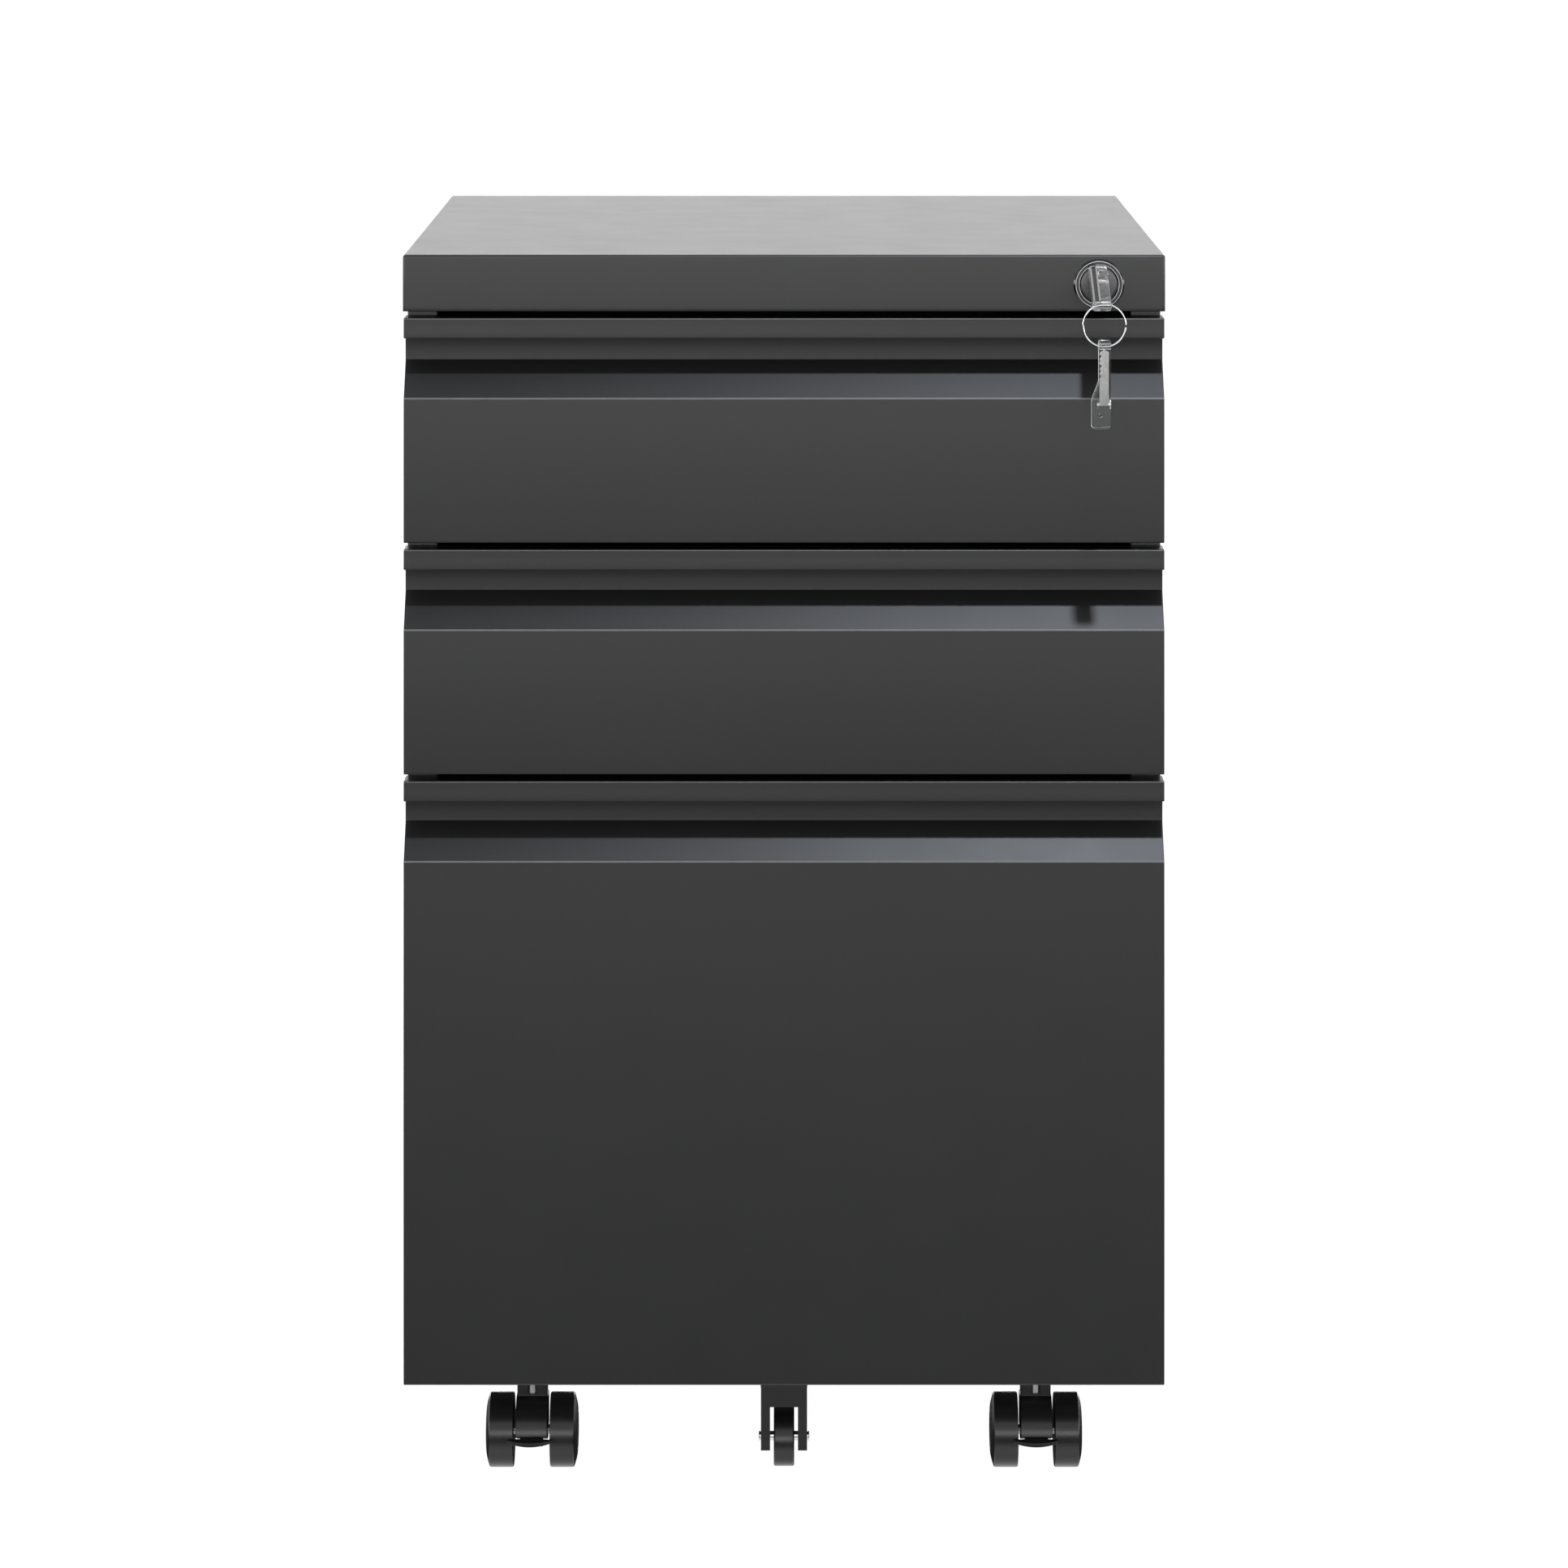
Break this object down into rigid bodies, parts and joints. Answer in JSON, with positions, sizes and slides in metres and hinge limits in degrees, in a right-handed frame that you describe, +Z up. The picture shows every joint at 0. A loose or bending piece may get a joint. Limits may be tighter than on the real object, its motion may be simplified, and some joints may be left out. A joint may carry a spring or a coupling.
{
  "type": "rolling pedestal cabinet",
  "caption": "Rolling steel pedestal cabinet: small drawers over a file drawer, keyed lock in the top cover, twin-wheel casters and an anti-tip wheel.",
  "frame": {"origin": "on the floor, under the middle of the outline with the hanging keys included", "axes": "+Z up, -Y out of the drawer fronts, +X to the right of someone facing the drawers"},
  "size_m": [0.39, 0.5011, 0.635],
  "materials": {
    "powder_coat": "satin black-grey powder coat",
    "zinc_steel": "zinc plated, satin",
    "chrome": "bright chrome plate",
    "dark_steel": "dark nickel, turned face",
    "key_metal": "nickel plated, tumbled",
    "clear_plastic": "clear, polished",
    "black_plastic": "moulded black nylon, semi-gloss"
  },
  "bodies": {
    "cabinet": {"top_cover": "powder_coat", "carcass_wrap": "powder_coat", "base_panel": "powder_coat", "top_drawer_slide_cabinet_member_right": "zinc_steel", "top_drawer_slide_cabinet_member_left": "zinc_steel", "middle_drawer_slide_cabinet_member_right": "zinc_steel", "middle_drawer_slide_cabinet_member_left": "zinc_steel", "file_drawer_slide_cabinet_member_right": "zinc_steel", "file_drawer_slide_cabinet_member_left": "zinc_steel", "lock_housing": "chrome", "front_left_caster_stem": "zinc_steel", "front_right_caster_stem": "zinc_steel", "rear_left_caster_stem": "zinc_steel", "rear_right_caster_stem": "zinc_steel"},
    "top_drawer": {"top_drawer_front": "powder_coat", "top_drawer_box": "powder_coat", "top_drawer_slide_drawer_member_right": "zinc_steel", "top_drawer_slide_drawer_member_left": "zinc_steel"},
    "top_drawer_slide_middle": {"top_drawer_slide_middle_member_right": "zinc_steel", "top_drawer_slide_middle_member_left": "zinc_steel"},
    "middle_drawer": {"middle_drawer_front": "powder_coat", "middle_drawer_box": "powder_coat", "middle_drawer_slide_drawer_member_right": "zinc_steel", "middle_drawer_slide_drawer_member_left": "zinc_steel"},
    "middle_drawer_slide_middle": {"middle_drawer_slide_middle_member_right": "zinc_steel", "middle_drawer_slide_middle_member_left": "zinc_steel"},
    "file_drawer": {"file_drawer_front": "powder_coat", "file_drawer_box": "powder_coat", "file_drawer_slide_drawer_member_right": "zinc_steel", "file_drawer_slide_drawer_member_left": "zinc_steel", "fifth_wheel_bracket": "powder_coat", "fifth_wheel_pin": "chrome"},
    "file_drawer_slide_middle": {"file_drawer_slide_middle_member_right": "zinc_steel", "file_drawer_slide_middle_member_left": "zinc_steel"},
    "lock_plug": {"lock_plug": "dark_steel"},
    "lock_bar": {"lock_bar": "zinc_steel"},
    "lock_key_blade": {"lock_key_blade": "key_metal"},
    "lock_key_grip": {"lock_key_grip": "clear_plastic"},
    "key_ring": {"key_ring": "chrome"},
    "spare_key_grip": {"spare_key_grip": "clear_plastic"},
    "spare_key_blade": {"spare_key_blade": "key_metal"},
    "front_left_caster": {"front_left_caster_hood": "black_plastic", "front_left_caster_axle": "zinc_steel"},
    "front_left_caster_wheel_left": {"front_left_caster_wheel_left": "black_plastic"},
    "front_left_caster_wheel_right": {"front_left_caster_wheel_right": "black_plastic"},
    "front_left_caster_brake_pedal": {"front_left_caster_brake_pedal": "black_plastic"},
    "front_right_caster": {"front_right_caster_hood": "black_plastic", "front_right_caster_axle": "zinc_steel"},
    "front_right_caster_wheel_left": {"front_right_caster_wheel_left": "black_plastic"},
    "front_right_caster_wheel_right": {"front_right_caster_wheel_right": "black_plastic"},
    "front_right_caster_brake_pedal": {"front_right_caster_brake_pedal": "black_plastic"},
    "rear_left_caster": {"rear_left_caster_hood": "black_plastic", "rear_left_caster_axle": "zinc_steel"},
    "rear_left_caster_wheel_left": {"rear_left_caster_wheel_left": "black_plastic"},
    "rear_left_caster_wheel_right": {"rear_left_caster_wheel_right": "black_plastic"},
    "rear_right_caster": {"rear_right_caster_hood": "black_plastic", "rear_right_caster_axle": "zinc_steel"},
    "rear_right_caster_wheel_left": {"rear_right_caster_wheel_left": "black_plastic"},
    "rear_right_caster_wheel_right": {"rear_right_caster_wheel_right": "black_plastic"},
    "fifth_wheel": {"fifth_wheel": "black_plastic"}
  },
  "joints": [
    {"name": "top_drawer_open", "type": "slide", "parent": "cabinet", "child": "top_drawer", "axis": [0, -1, 0], "range_m": [0, 0.4]},
    {"name": "top_drawer_slide_middle_travel", "type": "slide", "parent": "cabinet", "child": "top_drawer_slide_middle", "axis": [0, -1, 0], "range_m": [0, 0.2]},
    {"name": "middle_drawer_open", "type": "slide", "parent": "cabinet", "child": "middle_drawer", "axis": [0, -1, 0], "range_m": [0, 0.4]},
    {"name": "middle_drawer_slide_middle_travel", "type": "slide", "parent": "cabinet", "child": "middle_drawer_slide_middle", "axis": [0, -1, 0], "range_m": [0, 0.2]},
    {"name": "file_drawer_open", "type": "slide", "parent": "cabinet", "child": "file_drawer", "axis": [0, -1, 0], "range_m": [0, 0.4]},
    {"name": "file_drawer_slide_middle_travel", "type": "slide", "parent": "cabinet", "child": "file_drawer_slide_middle", "axis": [0, -1, 0], "range_m": [0, 0.2]},
    {"name": "lock_turn", "type": "hinge", "parent": "cabinet", "child": "lock_plug", "pos_m": [0.161, -0.1994, 0.62], "axis": [0, 1, 0], "range_deg": [0, 90]},
    {"name": "lock_bar_lift", "type": "slide", "parent": "cabinet", "child": "lock_bar", "axis": [0, 0, 1], "range_m": [0, 0.00848]},
    {"name": "key_withdraw", "type": "slide", "parent": "lock_plug", "child": "lock_key_blade", "axis": [0, -1, 0], "range_m": [0, 0.02]},
    {"name": "key_fold", "type": "hinge", "parent": "lock_key_blade", "child": "lock_key_grip", "pos_m": [0.161, -0.2161, 0.62], "axis": [1, 0, 0], "range_deg": [-20, 65]},
    {"name": "key_ring_hang", "type": "hinge", "parent": "lock_key_grip", "child": "key_ring", "pos_m": [0.1626, -0.24452, 0.61359], "axis": [1, 0, 0], "range_deg": [-65.5, 20.5]},
    {"name": "spare_key_swing", "type": "hinge", "parent": "key_ring", "child": "spare_key_grip", "pos_m": [0.1626, -0.24452, 0.59249], "axis": [1, 0, 0], "range_deg": [-25, 25]},
    {"name": "spare_key_fold", "type": "hinge", "parent": "spare_key_grip", "child": "spare_key_blade", "pos_m": [0.1626, -0.24822, 0.56359], "axis": [1, 0, 0], "range_deg": [0, 180]},
    {"name": "front_left_caster_swivel", "type": "hinge", "parent": "cabinet", "child": "front_left_caster", "pos_m": [-0.131, -0.1384, 0.04], "axis": [0, 0, 1], "continuous": true},
    {"name": "front_left_caster_wheel_left_spin", "type": "hinge", "parent": "front_left_caster", "child": "front_left_caster_wheel_left", "pos_m": [-0.148, -0.1414, 0.019], "axis": [1, 0, 0], "continuous": true},
    {"name": "front_left_caster_wheel_right_spin", "type": "hinge", "parent": "front_left_caster", "child": "front_left_caster_wheel_right", "pos_m": [-0.114, -0.1414, 0.019], "axis": [1, 0, 0], "continuous": true},
    {"name": "front_left_caster_brake_pedal_press", "type": "hinge", "parent": "front_left_caster", "child": "front_left_caster_brake_pedal", "pos_m": [-0.131, -0.1514, 0.016], "axis": [1, 0, 0], "range_deg": [0, 14]},
    {"name": "front_right_caster_swivel", "type": "hinge", "parent": "cabinet", "child": "front_right_caster", "pos_m": [0.131, -0.1384, 0.04], "axis": [0, 0, 1], "continuous": true},
    {"name": "front_right_caster_wheel_left_spin", "type": "hinge", "parent": "front_right_caster", "child": "front_right_caster_wheel_left", "pos_m": [0.114, -0.1414, 0.019], "axis": [1, 0, 0], "continuous": true},
    {"name": "front_right_caster_wheel_right_spin", "type": "hinge", "parent": "front_right_caster", "child": "front_right_caster_wheel_right", "pos_m": [0.148, -0.1414, 0.019], "axis": [1, 0, 0], "continuous": true},
    {"name": "front_right_caster_brake_pedal_press", "type": "hinge", "parent": "front_right_caster", "child": "front_right_caster_brake_pedal", "pos_m": [0.131, -0.1514, 0.016], "axis": [1, 0, 0], "range_deg": [0, 14]},
    {"name": "rear_left_caster_swivel", "type": "hinge", "parent": "cabinet", "child": "rear_left_caster", "pos_m": [-0.131, 0.1956, 0.04], "axis": [0, 0, 1], "continuous": true},
    {"name": "rear_left_caster_wheel_left_spin", "type": "hinge", "parent": "rear_left_caster", "child": "rear_left_caster_wheel_left", "pos_m": [-0.148, 0.1926, 0.019], "axis": [1, 0, 0], "continuous": true},
    {"name": "rear_left_caster_wheel_right_spin", "type": "hinge", "parent": "rear_left_caster", "child": "rear_left_caster_wheel_right", "pos_m": [-0.114, 0.1926, 0.019], "axis": [1, 0, 0], "continuous": true},
    {"name": "rear_right_caster_swivel", "type": "hinge", "parent": "cabinet", "child": "rear_right_caster", "pos_m": [0.131, 0.1956, 0.04], "axis": [0, 0, 1], "continuous": true},
    {"name": "rear_right_caster_wheel_left_spin", "type": "hinge", "parent": "rear_right_caster", "child": "rear_right_caster_wheel_left", "pos_m": [0.114, 0.1926, 0.019], "axis": [1, 0, 0], "continuous": true},
    {"name": "rear_right_caster_wheel_right_spin", "type": "hinge", "parent": "rear_right_caster", "child": "rear_right_caster_wheel_right", "pos_m": [0.148, 0.1926, 0.019], "axis": [1, 0, 0], "continuous": true},
    {"name": "fifth_wheel_spin", "type": "hinge", "parent": "file_drawer", "child": "fifth_wheel", "pos_m": [0, -0.1454, 0.0167], "axis": [1, 0, 0], "continuous": true}
  ],
  "couplings": [
    {"joint": "top_drawer_slide_middle_travel", "follows": "top_drawer_open", "ratio": 0.5},
    {"joint": "middle_drawer_slide_middle_travel", "follows": "middle_drawer_open", "ratio": 0.5},
    {"joint": "file_drawer_slide_middle_travel", "follows": "file_drawer_open", "ratio": 0.5},
    {"joint": "lock_turn", "follows": "lock_bar_lift", "rad_per_m": 185.12},
    {"joint": "key_ring_hang", "follows": "key_fold", "ratio": -1}
  ]
}
